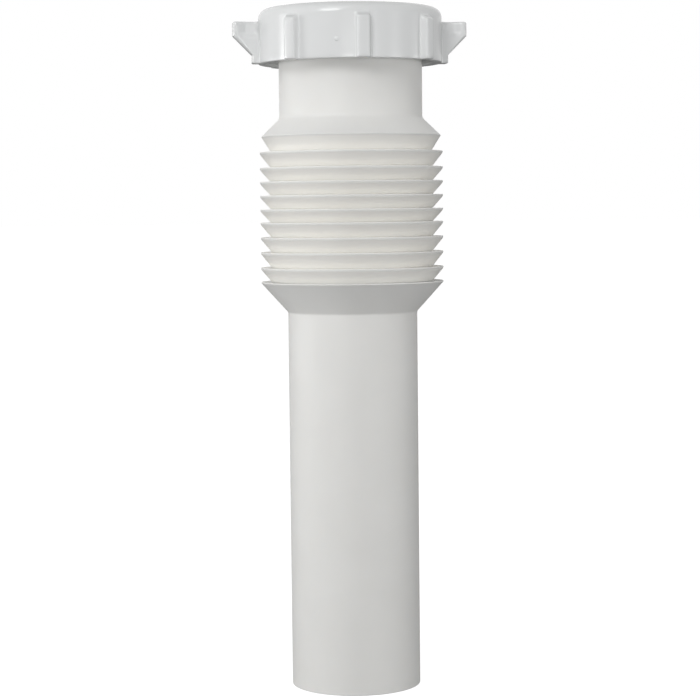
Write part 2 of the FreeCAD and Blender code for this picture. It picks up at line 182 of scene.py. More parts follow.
class ShapeTree:
    """A geometry node tree built step by step, with named inputs."""

    def __init__(self, name: str) -> None:
        """Start an empty tree with a geometry input and output.

        Args:
            name: The tree's name.
        """
        self.tree = bpy.data.node_groups.new(name, "GeometryNodeTree")
        self.tree.interface.new_socket("Geometry", in_out="INPUT", socket_type="NodeSocketGeometry")
        self.tree.interface.new_socket("Geometry", in_out="OUTPUT", socket_type="NodeSocketGeometry")
        self.entry = self.tree.nodes.new("NodeGroupInput")
        self.exit = self.tree.nodes.new("NodeGroupOutput")

    def size(self, name: str, kind: str = "NodeSocketFloat") -> None:
        """Add a named input."""
        self.tree.interface.new_socket(name, in_out="INPUT", socket_type=kind)

    def feed(self, socket: bpy.types.NodeSocket, source: object) -> None:
        """Feed a socket.

        Args:
            socket: The input socket.
            source: An output socket, the name of one of the tree's inputs or a value.
        """
        if isinstance(source, str):
            source = self.entry.outputs[source]
        if isinstance(source, bpy.types.NodeSocket):
            self.tree.links.new(source, socket)
        else:
            socket.default_value = source

    def node(self, kind: str, mode: str = "", **links: object) -> bpy.types.Node:
        """Add a node and feed its sockets.

        Args:
            kind: The node's type name.
            mode: The node's mode, where it has more than one.
            links: Socket name, with underscores for spaces, to a source.

        Returns:
            The node.
        """
        made = self.tree.nodes.new(kind)
        if mode:
            made.mode = mode
        for name, source in links.items():
            self.feed(made.inputs[name.replace("_", " ")], source)
        return made

    def math(self, operation: str, first: object, second: object) -> bpy.types.NodeSocket:
        """Add a math node.

        Args:
            operation: The node's operation.
            first: The first source.
            second: The second source.

        Returns:
            The node's output.
        """
        made = self.tree.nodes.new("ShaderNodeMath")
        made.operation = operation
        for socket, source in zip(made.inputs, (first, second)):
            self.feed(socket, source)
        return made.outputs[0]

    def close(self, last: bpy.types.NodeSocket) -> None:
        """Realize what the tree made, give it its material and end the tree.

        Args:
            last: The output that holds the finished shape.
        """
        real = self.node("GeometryNodeRealizeInstances", Geometry=last)
        coated = self.node("GeometryNodeSetMaterial", Geometry=real.outputs[0], Material="Material")
        self.tree.links.new(coated.outputs[0], self.exit.inputs[0])

    def apply(self, made: bpy.types.Object, **values: object) -> bpy.types.Object:
        """Run the tree on an object and keep the result as its mesh.

        Args:
            made: The object to work on.
            values: Input name, with underscores for spaces, to its value.

        Returns:
            The object.
        """
        modifier = made.modifiers.new(self.tree.name, "NODES")
        modifier.node_group = self.tree
        for item in self.tree.interface.items_tree:
            key = item.name.replace(" ", "_")
            if item.in_out == "INPUT" and key in values:
                modifier[item.identifier] = values[key]
        return settle(made)


def revolve_tree() -> ShapeTree:
    """A tree that turns a closed section round the Z axis.

    Returns:
        The tree, with inputs for the turning path's radius, its steps and the material.
    """
    tree = ShapeTree("turned_wall")
    tree.size("Path Radius")
    tree.size("Steps", "NodeSocketInt")
    tree.size("Material", "NodeSocketMaterial")
    section = tree.node("GeometryNodeMeshToCurve", Mesh="Geometry")
    path = tree.node("GeometryNodeCurvePrimitiveCircle", Resolution="Steps", Radius="Path Radius")
    wall = tree.node("GeometryNodeCurveToMesh", Curve=path.outputs["Curve"], Profile_Curve=section.outputs[0])
    tree.close(wall.outputs[0])
    return tree


def helix_tree() -> ShapeTree:
    """A tree that winds a ridge round the Z axis as a right-hand thread that fades in and out.

    Returns:
        The tree, with inputs for the helix, the ridge's section and the material.
    """
    tree = ShapeTree("thread_ridge")
    for name in ("Radius", "Rise", "Turns", "Base Width", "Crest Width", "Depth", "Fade", "End Share",
                 "Section Turn"):
        tree.size(name)
    for name in ("Section Shift", "Start Place"):
        tree.size(name, "NodeSocketVector")
    tree.size("Steps", "NodeSocketInt")
    tree.size("Material", "NodeSocketMaterial")
    path = tree.node("GeometryNodeCurveSpiral", Resolution="Steps", Rotations="Turns", Start_Radius="Radius",
                     End_Radius="Radius", Height="Rise", Reverse=True)
    upright = tree.node("GeometryNodeSetCurveNormal", "Z_UP", Curve=path.outputs[0])
    along = tree.node("GeometryNodeSplineParameter").outputs["Factor"]
    near_end = tree.math("MINIMUM", along, tree.math("SUBTRACT", 1.0, along))
    height = tree.node("ShaderNodeMapRange", Value=near_end, From_Max="Fade", To_Min="End Share")
    block = tree.node("GeometryNodeCurvePrimitiveQuadrilateral", "TRAPEZOID", Bottom_Width="Base Width",
                      Top_Width="Crest Width", Offset=0.0, Height="Depth")
    spin = tree.node("ShaderNodeCombineXYZ", Z="Section Turn")
    section = tree.node("GeometryNodeTransform", Geometry=block.outputs[0], Translation="Section Shift",
                        Rotation=spin.outputs[0])
    ridge = tree.node("GeometryNodeCurveToMesh", Curve=upright.outputs[0], Profile_Curve=section.outputs[0],
                      Scale=height.outputs[0], Fill_Caps=True)
    placed = tree.node("GeometryNodeTransform", Geometry=ridge.outputs[0], Translation="Start Place")
    tree.close(placed.outputs[0])
    return tree


class ShaderTree:
    """A small helper that adds and links shader nodes."""

    def __init__(self, tree: bpy.types.NodeTree) -> None:
        """Wrap a node tree."""
        self.tree = tree

    def feed(self, socket: bpy.types.NodeSocket, source: object) -> None:
        """Feed a socket.

        Args:
            socket: The input socket.
            source: An output socket, a value, or None to leave the socket as it is.
        """
        if isinstance(source, bpy.types.NodeSocket):
            self.tree.links.new(source, socket)
        elif source is not None:
            socket.default_value = source

    def node(self, kind: str, **links: object) -> bpy.types.Node:
        """Add a node and feed its sockets.

        Args:
            kind: The node's type name.
            links: Socket name, with underscores for spaces, to a source.

        Returns:
            The node.
        """
        made = self.tree.nodes.new(kind)
        for name, source in links.items():
            self.feed(made.inputs[name.replace("_", " ")], source)
        return made

    def math(self, operation: str, first: object, second: object,
             kind: str = "ShaderNodeMath") -> bpy.types.Node:
        """Add a math node on two sources.

        Args:
            operation: The node's operation.
            first: The first source.
            second: The second source.
            kind: The node's type name.

        Returns:
            The node.
        """
        made = self.tree.nodes.new(kind)
        made.operation = operation
        for socket, source in zip(made.inputs, (first, second)):
            self.feed(socket, source)
        return made

    def ramp(self, value: bpy.types.NodeSocket, none: float, full: float) -> bpy.types.NodeSocket:
        """A share that grows along a length.

        Args:
            value: The length to judge, in metres as the shader gives it.
            none: The length where the share is 0.
            full: The length where the share is 1.

        Returns:
            The share, kept between 0 and 1.
        """
        made = self.node("ShaderNodeMapRange", Value=value)
        made.inputs["From Min"].default_value = none * MM
        made.inputs["From Max"].default_value = full * MM
        return made.outputs["Result"]

    def blend(self, share: bpy.types.NodeSocket, first: object, second: object) -> bpy.types.NodeSocket:
        """Mix two colours.

        Args:
            share: How much of the second colour there is.
            first: A colour or a colour output.
            second: A colour or a colour output.

        Returns:
            The mixed colour.
        """
        made = self.tree.nodes.new("ShaderNodeMix")
        made.data_type = "RGBA"
        factor, colours, mixed = made.inputs[0], made.inputs[6:8], made.outputs[2]
        self.feed(factor, share)
        for socket, source in zip(colours, (first, second)):
            self.feed(socket, source)
        return mixed


def moulded_skin() -> bpy.types.NodeTree:
    """The faint unevenness of moulded plastic: a cloudy tone and a fine grain.

    Returns:
        A shader group with scale inputs, a tone from 0 to 1 and a grain height.
    """
    group = bpy.data.node_groups.new("moulded_skin", "ShaderNodeTree")
    for name in ("Cloud Scale", "Grain Scale"):
        group.interface.new_socket(name, in_out="INPUT", socket_type="NodeSocketFloat")
    for name in ("Tone", "Grain"):
        group.interface.new_socket(name, in_out="OUTPUT", socket_type="NodeSocketFloat")
    tree = ShaderTree(group)
    entry = tree.node("NodeGroupInput")
    leave = tree.node("NodeGroupOutput")
    place = tree.node("ShaderNodeTexCoord").outputs["Object"]
    cloud = tree.node("ShaderNodeTexNoise", Vector=place, Scale=entry.outputs["Cloud Scale"], Detail=3.0)
    grain = tree.node("ShaderNodeTexNoise", Vector=place, Scale=entry.outputs["Grain Scale"], Detail=2.0)
    spread = tree.node("ShaderNodeMapRange", Value=cloud.outputs["Fac"], From_Min=0.3, From_Max=0.7)
    group.links.new(spread.outputs["Result"], leave.inputs["Tone"])
    group.links.new(grain.outputs["Fac"], leave.inputs["Grain"])
    return group


@dataclass(frozen=True)
class PaintedGlowTone:
    """Painted light on the bellows: a lighter, creamier colour that stands in for light let through their
    folds' narrow walls. It grows stronger outwards and fades back at the very tips as painted shade that dims
    their rims' highlight.
    """

    colour: Colour
    low: float = 119.6
    high: float = 162.2
    inner: float = 16.0
    outer: float = 27.0
    blend: float = 0.6
    # How far in from the tips the painted glow fades back: painted shade that dims the rims' highlight.
    edge: float = 0.45

    def colour_of(self, tree: ShaderTree, colour: bpy.types.NodeSocket) -> bpy.types.NodeSocket:
        """Blend the painted glow of the bellows' folds into a colour.

        Args:
            tree: The material's tree.
            colour: The colour of the thick stretches.

        Returns:
            The blended colour.
        """
        place = tree.node("ShaderNodeTexCoord").outputs["Object"]
        height = tree.node("ShaderNodeSeparateXYZ", Vector=place).outputs["Z"]
        flat = tree.math("MULTIPLY", place, (1.0, 1.0, 0.0), "ShaderNodeVectorMath").outputs["Vector"]
        across = tree.math("LENGTH", flat, None, "ShaderNodeVectorMath").outputs["Value"]
        above = tree.ramp(height, self.low, self.low + self.blend)
        below = tree.ramp(height, self.high, self.high - self.blend)
        outward = tree.ramp(across, self.inner, self.outer)
        # The tips fade back to the plain colour: painted shade against their rim highlight.
        tip_shade = tree.ramp(across, self.outer, self.outer - self.edge)
        share = above
        for other in (below, outward, tip_shade):
            share = tree.math("MULTIPLY", share, other).outputs[0]
        return tree.blend(share, colour, (*self.colour, 1.0))


@dataclass(frozen=True)
class Plastic:
    """A moulded plastic finish."""

    name: str
    light: Colour
    dark: Colour
    roughness: float
    specular: float = 0.5
    subsurface: float = 0.0
    painted_glow: PaintedGlowTone | None = None
    cloud_scale: float = 60.0
    grain_scale: float = 900.0
    grain_depth: float = 0.02
    grain_strength: float = 0.2
    glow_spread: Colour = (1.0, 0.9, 0.8)
    glow_depth: float = 1.5

    def material(self, skin: bpy.types.NodeTree) -> bpy.types.Material:
        """Build the material.

        Args:
            skin: The shared group of faint unevenness.

        Returns:
            The material.
        """
        made = bpy.data.materials.new(self.name)
        made.use_nodes = True
        made.node_tree.nodes.clear()
        tree = ShaderTree(made.node_tree)
        surface = tree.node("ShaderNodeGroup")
        surface.node_tree = skin
        surface.inputs["Cloud Scale"].default_value = self.cloud_scale
        surface.inputs["Grain Scale"].default_value = self.grain_scale
        tint = tree.blend(surface.outputs["Tone"], (*self.dark, 1.0), (*self.light, 1.0))
        # Painted glow of light through the bellows' folds, where the finish has it.
        if self.painted_glow:
            tint = self.painted_glow.colour_of(tree, tint)
        bump = tree.node("ShaderNodeBump", Height=surface.outputs["Grain"], Strength=self.grain_strength,
                         Distance=self.grain_depth * MM)
        shade = tree.node("ShaderNodeBsdfPrincipled", Base_Color=tint, Roughness=self.roughness,
                          Specular_IOR_Level=self.specular, Subsurface_Weight=self.subsurface,
                          Subsurface_Radius=self.glow_spread, Subsurface_Scale=self.glow_depth * MM,
                          Normal=bump.outputs["Normal"])
        tree.node("ShaderNodeOutputMaterial", Surface=shade.outputs["BSDF"])
        return made


@dataclass
class Piece:
    """What every dressed piece of the part shares."""

    material: bpy.types.Material

    def dress(self, made: bpy.types.Object, body: Body, slot: Slot, *nodes: str) -> bpy.types.Object:
        """Let a piece ride on its body and stand for its solids.

        Args:
            made: The finished object.
            body: The body it moves with.
            slot: The record's material slot; not used.
            nodes: The solids it stands for.

        Returns:
            The object.
        """
        if not made.data.materials:
            made.data.materials.append(self.material)
        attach(made, body.value)
        if nodes:
            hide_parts(*nodes)
        LOG.info("%s: %d faces", made.name, len(made.data.polygons))
        return made


@dataclass
class TurnedPiece(Piece):
    """A piece turned from a closed section."""

    tree: ShapeTree
    path_radius: float = 20.0
    steps: int = 192
    sharp_angle: float = 32.0

    def turn(self, name: str, section: Sequence[Point]) -> bpy.types.Object:
        """Turn a closed section of radius and height points.

        Args:
            name: The object's name.
            section: The section's points in order.

        Returns:
            The object.
        """
        points = [((across - self.path_radius) * MM, -up * MM, 0.0) for across, up in section]
        edges = [(place, (place + 1) % len(points)) for place in range(len(points))]
        made = mesh_object(name, points, edges, [])
        self.tree.apply(made, Path_Radius=self.path_radius * MM, Steps=self.steps, Material=self.material)
        smooth(made, self.sharp_angle)
        return made


@dataclass
class FlexibleTube(TurnedPiece):
    """The one-piece tube: neck, bellows and plain pipe."""

    pipe_radius: float = 19.05
    pipe_bore: float = 17.35
    pipe_top: float = 110.8
    last_tip: float = 119.6
    tip_radius: float = 26.9
    valley_radius: float = 22.95
    fold_wall: float = 0.55
    fold_pitch: float = 4.22
    fold_count: int = 9
    fold_fall: float = 4.95
    first_pitch: float = 4.7
    first_tip_radius: float = 26.3
    neck_radius: float = 21.0
    socket_radius: float = 19.3
    neck_base: float = 167.53
    collar_radius: float = 22.7
    collar_base: float = 185.96
    mouth: float = 193.96
    mouth_bevel: float = 2.1
    mouth_round: float = 0.2
    collar_chamfer: float = 0.4
    collar_round: float = 0.15
    collar_heel: float = 0.4
    collar_foot: float = 0.8
    tip_round: float = 0.22
    nose: float = 1.6
    nose_lean: float = -13.0
    tip_drift: tuple[float, ...] = (0.0, 0.0, -0.35, -0.2, 0.0, 0.2, 0.55, 0.45, 0.3, 0.0, 0.0)
    tip_steps: int = 5
    cut_round: float = 0.25
    cone_round: float = 1.2
    neck_round: float = 1.8

    def tips(self) -> list[Point]:
        """The middles of the bellows' tips, a little unevenly drawn out.

        Returns:
            The radius and height of each, from the top one down.
        """
        second = self.last_tip + self.fold_count * self.fold_pitch
        heights = [second + self.first_pitch]
        heights += [second - place * self.fold_pitch for place in range(self.fold_count + 1)]
        radii = [self.first_tip_radius] + [self.tip_radius] * (self.fold_count + 1)
        return [(radius - self.tip_round, height + drift)
                for radius, height, drift in zip(radii, heights, self.tip_drift)]

    def valleys(self) -> list[Point]:
        """The creases between the tips, from the top one down."""
        rise = self.fold_pitch - self.fold_fall
        return [(self.valley_radius, height + rise) for _, height in self.tips()[1:]]

    @staticmethod
    def side(start: Point, end: Point, offset: float) -> float:
        """The angle, in radians, of the outward side of a wall between two bends.

        Args:
            start: The point that the wall leaves.
            end: The point that it runs to.
            offset: How far the wall's outer face passes from start, less how far it passes from end.

        Returns:
            The angle of the outer face's normal.
        """
        across, up = end[0] - start[0], end[1] - start[1]
        return math.atan2(up, across) - math.asin(offset / math.hypot(across, up)) + math.pi / 2.0

    def folds(self) -> tuple[list[Point], list[Point]]:
        """The two faces of the bellows' wall.

        Each tip has a small bend on top, and all but the first and last have a blunter nose below it.

        Returns:
            The outer face from the top tip down, and the inner face from the top tip to the last.
        """
        tips, valleys, bend = self.tips(), self.valleys(), self.tip_round
        foot = (self.pipe_radius, self.pipe_top)
        brow = (self.neck_radius, self.neck_base)
        overs = [self.side(brow, tips[0], -bend)]
        overs += [self.side(valley, tip, -bend) for valley, tip in zip(valleys, tips[1:])]
        noses = [bend] + [self.nose] * (len(valleys) - 1) + [bend]
        lean = math.radians(self.nose_lean)
        cheeks = [(tip[0] + (bend - nose) * math.cos(lean), tip[1] + (bend - nose) * math.sin(lean))
                  for tip, nose in zip(tips, noses)]
        unders = [self.side(cheek, end, nose) for cheek, end, nose in zip(cheeks, [*valleys, foot], noses)]

        inside: list[Point] = [tips[0]]
        for valley, over, under, tip in zip(valleys, overs[1:], unders, tips[1:]):
            inside += arc(valley, self.fold_wall, under + math.pi, over + math.pi, self.tip_steps)
            inside.append(tip)
        outside: list[Point] = []
        for tip, cheek, nose, over, under, ahead in zip(tips, cheeks, noses, overs, unders, [*valleys, None]):
            outside += arc(tip, bend, over, lean, self.tip_steps)
            outside += arc(cheek, nose, lean, under, self.tip_steps)[1:]
            if ahead:
                outside.append(ahead)
        return outside, inside

    def section(self) -> list[Point]:
        """The wall's closed section.

        Returns:
            The points up the socket, down the outside from the mouth to the cut end, and up the inside.
        """
        outside, inside = self.folds()
        neck = rounded([
            (self.socket_radius, self.neck_base, 0.0),
            (self.socket_radius, self.mouth - self.mouth_bevel, 0.0),
            (self.socket_radius + self.mouth_bevel, self.mouth, self.mouth_round),
            (self.collar_radius - self.collar_chamfer, self.mouth, self.collar_round),
            (self.collar_radius, self.mouth - self.collar_chamfer, self.collar_round),
            (self.collar_radius, self.collar_base, self.collar_heel),
            (self.neck_radius, self.collar_base - (self.collar_radius - self.neck_radius), self.collar_foot),
            (self.neck_radius, self.neck_base, self.neck_round),
            (*outside[0], 0.0),
        ])
        pipe = rounded([
            (*outside[-1], 0.0),
            (self.pipe_radius, self.pipe_top, self.cone_round),
            (self.pipe_radius, 0.0, self.cut_round),
            (self.pipe_bore, 0.0, self.cut_round),
            (self.pipe_bore, self.pipe_top, self.cone_round),
            (*inside[-1], 0.0),
        ])
        return neck[:-1] + outside + pipe[1:-1] + list(reversed(inside))

    def build(self) -> None:
        """Build the tube."""
        made = self.turn("tube_wall", self.section())
        self.dress(made, Body.TUBE, Slot.TUBE, "flexible_tube")


@dataclass
class SealWasher(TurnedPiece):
    """The bevelled washer between the neck's mouth and the nut's lip."""

    bore: float = 19.15
    nose_edge: float = 19.65
    bevel_edge: float = 21.05
    radius: float = 23.7
    nose_base: float = 192.56
    mouth: float = 193.96
    top: float = 196.46
    chamfer: float = 0.3
    chamfer_round: float = 0.1
    edge_round: float = 0.15

    def build(self) -> None:
        """Build the washer."""
        middle = (self.bore, (self.nose_base + self.top) / 2.0, 0.0)
        section = rounded([
            middle,
            (self.bore, self.nose_base, self.edge_round),
            (self.nose_edge, self.nose_base, self.edge_round),
            (self.bevel_edge, self.mouth, 0.0),
            (self.radius - self.chamfer, self.mouth, 0.0),
            (self.radius, self.mouth + self.chamfer, self.chamfer_round),
            (self.radius, self.top, self.edge_round),
            (self.bore, self.top, self.edge_round),
            middle,
        ])
        made = self.turn("washer_ring", section[:-1])
        self.dress(made, Body.WASHER, Slot.WASHER, "seal_washer")


@dataclass
class Thread(Piece):
    """One side of the slip thread: a ridge wound on the collar or in the nut."""

    tree: ShapeTree
    name: str
    side: Side
    body: Body
    slot: Slot
    root_radius: float
    start: float
    end: float
    pitch: float = 2.2087
    depth: float = 1.25
    sunk: float = 0.15
    base_width: float = 1.3
    crest_width: float = 0.4
    fade_turns: float = 0.4
    end_share: float = 0.05
    steps_per_turn: int = 72
    sharp_angle: float = 30.0

    def build(self) -> None:
        """Build the ridge."""
        rise = self.end - self.start
        turns = rise / self.pitch
        depth = self.depth + self.sunk
        facing = self.side.value
        made = mesh_object(self.name, [], [], [])
        self.tree.apply(
            made, Radius=(self.root_radius - facing * self.sunk) * MM, Rise=rise * MM, Turns=turns,
            Base_Width=self.base_width * MM, Crest_Width=self.crest_width * MM, Depth=depth * MM,
            Fade=self.fade_turns / turns, End_Share=self.end_share, Section_Turn=-facing * math.pi / 2.0,
            Section_Shift=(facing * depth / 2.0 * MM, 0.0, 0.0), Start_Place=(0.0, 0.0, self.start * MM),
            Steps=self.steps_per_turn, Material=self.material,
        )
        smooth(made, self.sharp_angle)
        self.dress(made, self.body, self.slot)


def smoothstep(low: float, high: float, value: float) -> float:
    """0 below low, 1 above high and a soft step between."""
    share = min(max((value - low) / (high - low), 0.0), 1.0)
    return share * share * (3.0 - 2.0 * share)


@dataclass
class Blade:
    """Half of a rib's or wing's plan, from the middle of its end to the edge of its sector.

    Attributes:
        web: The points low down.
        head: The points high up.
        free: How freely each point's edge may be rounded off, from 0 on the nut's side to 1.
        turns: The angle, in radians, of the point on the nut's side that each point sinks into.
    """

    web: np.ndarray
    head: np.ndarray
    free: np.ndarray
    turns: np.ndarray


@dataclass
class SlipNut(Piece):
    """The slip nut: a domed cap with ribs and two wings in one soft-edged skin."""

    base: float = 183.46
    top: float = 199.36
    radius: float = 26.9
    bore: float = 24.2
    lip_bore: float = 19.5
    lip_underside: float = 196.46
    dome: float = 2.9
    rib_count: int = 8
    wing_every: int = 4
    rib_top: float = 195.61
    rib_radius: float = 28.95
    half_width: float = 2.2
    rib_crest: float = 1.75
    rib_root: float = 0.7
    rib_edge: float = 0.9
    rib_fade: float = 0.9
    wing_radius: float = 34.5
    wing_edge: float = 191.46
    wing_floor: float = 191.81
    wing_waist: float = 2.4
    wing_root: float = 0.6
    dish_root: float = 1.8
    dish_run: float = 0.6
    dish_blend: float = 0.9
    wing_round: float = 1.2
    slope_round: float = 1.4
    slope_start: float = 0.6
    shelf_share: float = 0.8
    shelf_stands: tuple[float, ...] = (0.6, 0.25, 0.0)
    top_round: float = 0.7
    foot_round: float = 0.3
    foot_draw: float = 0.6
    foot_clear: float = 1.2
    entry: float = 0.6
    entry_round: float = 0.2
    lip_round: float = 0.4
    lip_edge: float = 0.2
    seat_round: float = 0.3
    bend_steps: int = 6
    dish_steps: int = 11
    rib_rim_steps: int = 9
    wing_rim_steps: int = 8
    foot_rings: int = 4
    slope_rings: int = 9
    side_rings: int = 14
    edge_rings: int = 6
    brow_rings: int = 5
    dome_rings: int = 10
    sharp_angle: float = 40.0
    rings: list[np.ndarray] = field(default_factory=list)

    def rib_half(self) -> Blade:
        """A plain rib, its side leaning in from the nut to a narrower crest.

        Returns:
            Half of its plan.
        """
        foot = math.sqrt(self.radius**2 - self.half_width**2)
        meet = math.asin((self.half_width + self.rib_root) / self.radius)
        points = rounded([
            (self.rib_radius, 0.0, 0.0),
            (self.rib_radius, self.rib_crest, self.rib_edge),
            (foot, self.half_width, self.rib_root),
            (self.radius * math.cos(meet), self.radius * math.sin(meet), 0.0),
        ], self.bend_steps)
        web = np.array(points + self.rim(meet, self.rib_rim_steps))
        free = (np.hypot(web[:, 0], web[:, 1]) - self.radius) / (self.rib_radius - self.radius)
        return Blade(web, web, np.clip(free, 0.0, 1.0), np.arctan2(web[:, 1], web[:, 0]))

    def wing_side(self, end_round: float, waist: float, fillet: float) -> tuple[list[Point], float]:
        """Half of a wing's plan at one level.

        Args:
            end_round: The rounding of the wing's end.
            waist: Half the wing's thickness where it comes to the nut.
            fillet: The fillet between the wing and the nut.

        Returns:
            The points from the middle of the end to the nut, and the angle where they meet the nut.
        """
        start, flat = self.wing_radius - end_round, self.half_width - end_round
        root, turn = self.root(fillet, waist)
        points = [(self.wing_radius, flat * share) for share in (0.0, 0.5)]
        points += arc((start, flat), end_round, 0.0, math.pi / 2.0, self.bend_steps)
        for share in np.linspace(0.0, 1.0, self.dish_steps + 1)[1:-1]:
            half = self.half_width + (waist - self.half_width) * smoothstep(0.0, self.dish_run, share)
            points.append((start + (root[0] - start) * share, half))
        return points + arc(root, fillet, -math.pi / 2.0, -math.pi + turn, self.bend_steps), turn

    def wing_half(self) -> Blade:
        """A wing, flat-sided low down and hollow between the nut and its end higher up.

        Returns:
            Half of its plan.
        """
        low, low_turn = self.wing_side(self.slope_round, self.half_width, self.wing_root)
        high, high_turn = self.wing_side(self.wing_round, self.wing_waist / 2.0, self.dish_root)
        rim = self.rim(high_turn, self.wing_rim_steps)
        bend = self.bend_steps + 1
        free = [1.0] * (len(low) - bend) + list(np.linspace(1.0, 0.0, bend)) + [0.0] * len(rim)
        narrow = self.shelf_share * (self.wing_waist / 2.0 - self.top_round) / self.radius
        turns = list(np.linspace(0.0, narrow, len(high) - bend))
        turns += list(np.linspace(narrow, high_turn, bend + 1)[1:])
        turns += [math.atan2(up, across) for across, up in rim]
        web = np.array(low + self.rim(low_turn, self.wing_rim_steps))
        return Blade(web, np.array(high + rim), np.array(free), np.array(turns))

    def root(self, fillet: float, half: float) -> tuple[Point, float]:
        """The fillet between a blade's side and the nut.

        Args:
            fillet: The fillet's radius.
            half: Half the blade's thickness.

        Returns:
            The fillet's centre, and the angle, in radians, where it meets the nut.
        """
        rise = half + fillet
        run = math.sqrt((self.radius + fillet) ** 2 - rise**2)
        return (run, rise), math.atan2(rise, run)

    def rim(self, start: float, steps: int) -> list[Point]:
        """Points on the nut's round side from an angle to the edge of its sector, the first left out."""
        return arc((0.0, 0.0), self.radius, start, math.pi / self.rib_count, steps)[1:]

    def reach(self, height: float) -> float:
        """How far the wings reach at a height."""
        slope = self.wing_radius - (self.wing_edge - height)
        return min(max(slope, self.rib_radius), self.wing_radius)

    def plan(self, height: float, body: float, stand: float, inset: float) -> np.ndarray:
        """The nut's outline at a height.

        Args:
            height: The height.
            body: The radius of the round body there.
            stand: How far the wings stand out, from 0 to 1.
            inset: How far the edges are rounded off there.

        Returns:
            The outline's points, anticlockwise from the edge of the first sector.
        """
        sectors = []
        for place in range(self.rib_count):
            wing = place % self.wing_every == 0
            blade = self.wing_half() if wing else self.rib_half()
            share = smoothstep(self.wing_floor - self.dish_blend, self.wing_floor + self.dish_blend, height)
            half = blade.web + (blade.head - blade.web) * share
            if wing:
                start = self.radius + self.slope_start
                scale = (self.reach(height) - start) / (self.wing_radius - start)
                half[:, 0] = np.where(half[:, 0] > start, start + (half[:, 0] - start) * scale, half[:, 0])
            whole = np.vstack([half[:0:-1] * (1.0, -1.0), half])
            free = np.concatenate([blade.free[:0:-1], blade.free])
            along = np.gradient(whole, axis=0)
            outward = np.stack([along[:, 1], -along[:, 0]], axis=1)
            outward /= np.linalg.norm(outward, axis=1, keepdims=True)
            edge = inset if wing else min(inset, self.foot_round)
            whole = whole - outward * (edge * free)[:, None]
            turns = np.concatenate([-blade.turns[:0:-1], blade.turns])
            round_side = np.stack([np.cos(turns), np.sin(turns)], axis=1)
            fade = 1.0 - smoothstep(self.rib_top - self.rib_fade, self.rib_top + self.rib_fade, height)
            # A wing's top narrows faster than it shortens, so that it stays within the hollows.
            spread = np.array((stand, stand**3)) if wing else fade
            points = round_side * body + (whole - round_side * self.radius) * spread
            turn = FULL_TURN * place / self.rib_count
            spin = np.array([[math.cos(turn), math.sin(turn)], [-math.sin(turn), math.cos(turn)]])
            sectors.append(points[:-1] @ spin)
        return np.vstack(sectors)

    def ring(self, points: np.ndarray, height: float) -> None:
        """Add a ring of the skin."""
        self.rings.append(np.column_stack([points, np.full(len(points), height)]))

    def outside(self) -> None:
        """The rings up the outside, over the dome."""
        for turn in np.linspace(0.0, math.pi / 2.0, self.foot_rings):
            inset = self.foot_round * (1.0 - math.sin(turn))
            height = self.base + self.foot_round * (1.0 - math.cos(turn))
            self.ring(self.plan(height, self.radius - inset * self.foot_draw, 1.0, inset), height)
        slope_base = self.wing_edge - (self.wing_radius - self.rib_radius)
        straight = [self.base + self.foot_clear, slope_base]
        straight += list(np.linspace(slope_base, self.wing_edge, self.slope_rings)[1:])
        straight += list(np.linspace(self.wing_edge, self.rib_top - self.top_round, self.side_rings)[1:])
        for height in straight:
            self.ring(self.plan(height, self.radius, 1.0, 0.0), height)
        for turn in np.linspace(0.0, math.pi / 2.0, self.edge_rings)[1:]:
            height = self.rib_top - self.top_round * (1.0 - math.sin(turn))
            self.ring(self.plan(height, self.radius, 1.0, self.top_round * (1.0 - math.cos(turn))), height)
        for stand in self.shelf_stands:
            self.ring(self.plan(self.rib_top, self.radius, stand, self.top_round), self.rib_top)
        for height in np.linspace(self.rib_top, self.top - self.dome, self.brow_rings)[1:-1]:
            self.ring(self.plan(height, self.radius, 0.0, self.top_round), height)
        for turn in np.linspace(0.0, math.pi / 2.0, self.dome_rings):
            body = self.radius - self.dome * (1.0 - math.cos(turn))
            height = self.top - self.dome * (1.0 - math.sin(turn))
            self.ring(self.plan(self.top, body, 0.0, self.top_round), height)

    def inside(self) -> None:
        """The rings from the top in through the lip and down the bore."""
        section = rounded([
            (self.radius - self.dome, self.top, 0.0),
            (self.lip_bore, self.top, self.lip_round),
            (self.lip_bore, self.lip_underside, self.lip_edge),
            (self.bore, self.lip_underside, self.seat_round),
            (self.bore, self.base + self.entry, 0.0),
            (self.bore + self.entry, self.base, self.entry_round),
            (self.radius - self.foot_round, self.base, 0.0),
        ])
        for across, up in section[1:-1]:
            self.ring(self.plan(self.top, across, 0.0, self.top_round), up)

    def build(self) -> None:
        """Build the nut's skin."""
        self.outside()
        self.inside()
        count = len(self.rings[0])
        faces = []
        for place in range(len(self.rings)):
            low, high = place * count, (place + 1) % len(self.rings) * count
            faces += [(low + i, low + (i + 1) % count, high + (i + 1) % count, high + i)
                      for i in range(count)]
        made = mesh_object("nut_skin", np.vstack(self.rings) * MM, [], faces)
        smooth(made, self.sharp_angle)
        self.dress(made, Body.NUT, Slot.NUT, "slip_nut")


